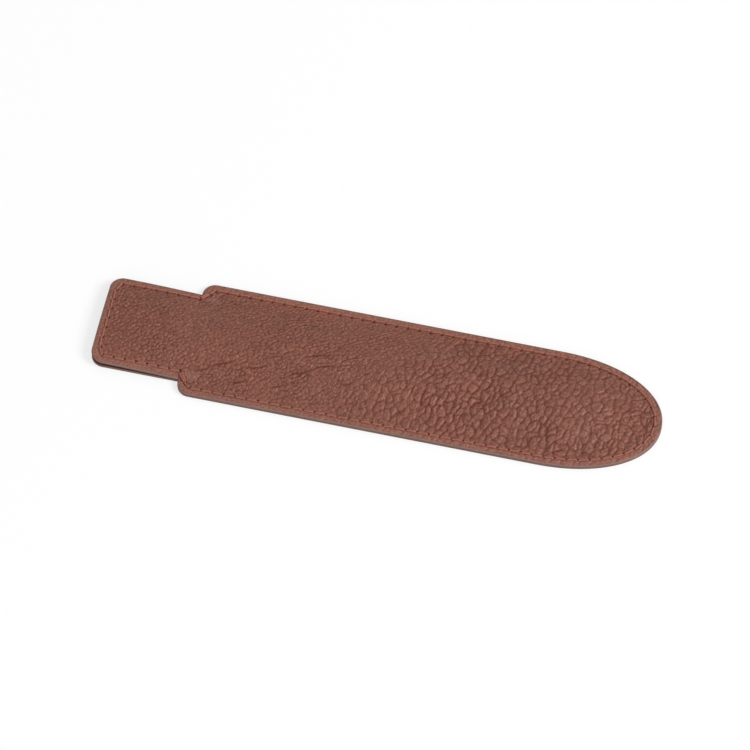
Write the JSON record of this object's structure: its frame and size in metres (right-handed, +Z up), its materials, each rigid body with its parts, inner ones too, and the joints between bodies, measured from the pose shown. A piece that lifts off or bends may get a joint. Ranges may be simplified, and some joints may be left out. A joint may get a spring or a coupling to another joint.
{
  "type": "pen sleeve",
  "caption": "Slim leather sleeve for one pen: two lined leaves sewn round a narrow pocket, with a pair of free tab leaves in front of the mouth and a rounded closed end.",
  "frame": {"origin": "centre of the bounding box at the outside face of the back leaf, where the sleeve lies on a table", "axes": "+X from the tab's free edge towards the round end, +Y across the sleeve, +Z up from the back leaf to the front leaf"},
  "size_m": [0.18, 0.0414, 0.0064],
  "materials": {
    "brown_leather": "pebbled, soft satin",
    "dark_lining": "matt microfibre",
    "edge_paint": "satin edge paint on the cut leather edge",
    "rust_thread": "bonded sewing thread"
  },
  "bodies": {
    "pocket": {"front_leather": "brown_leather", "front_lining": "dark_lining", "back_leather": "brown_leather", "back_lining": "dark_lining", "body_edge_paint": "edge_paint", "seam_top_thread": "rust_thread", "seam_bottom_thread": "rust_thread", "left_shoulder_backstitch": "rust_thread", "right_shoulder_backstitch": "rust_thread"},
    "front_tab": {"front_tab_leather": "brown_leather", "front_tab_lining": "dark_lining", "front_tab_edge_paint": "edge_paint", "front_tab_top_thread": "rust_thread", "front_tab_bottom_thread": "rust_thread"},
    "back_tab": {"back_tab_leather": "brown_leather", "back_tab_lining": "dark_lining", "back_tab_edge_paint": "edge_paint", "back_tab_top_thread": "rust_thread", "back_tab_bottom_thread": "rust_thread"}
  },
  "joints": [
    {"name": "front_tab_fold", "type": "hinge", "parent": "pocket", "child": "front_tab", "pos_m": [-0.0612, 0, 0.0064], "axis": [0, 1, 0], "range_deg": [0, 60], "stiffness_Nm_per_rad": 0.007},
    {"name": "back_tab_fold", "type": "hinge", "parent": "pocket", "child": "back_tab", "pos_m": [-0.0612, 0, 0], "axis": [0, -1, 0], "range_deg": [0, 60], "stiffness_Nm_per_rad": 0.007}
  ]
}
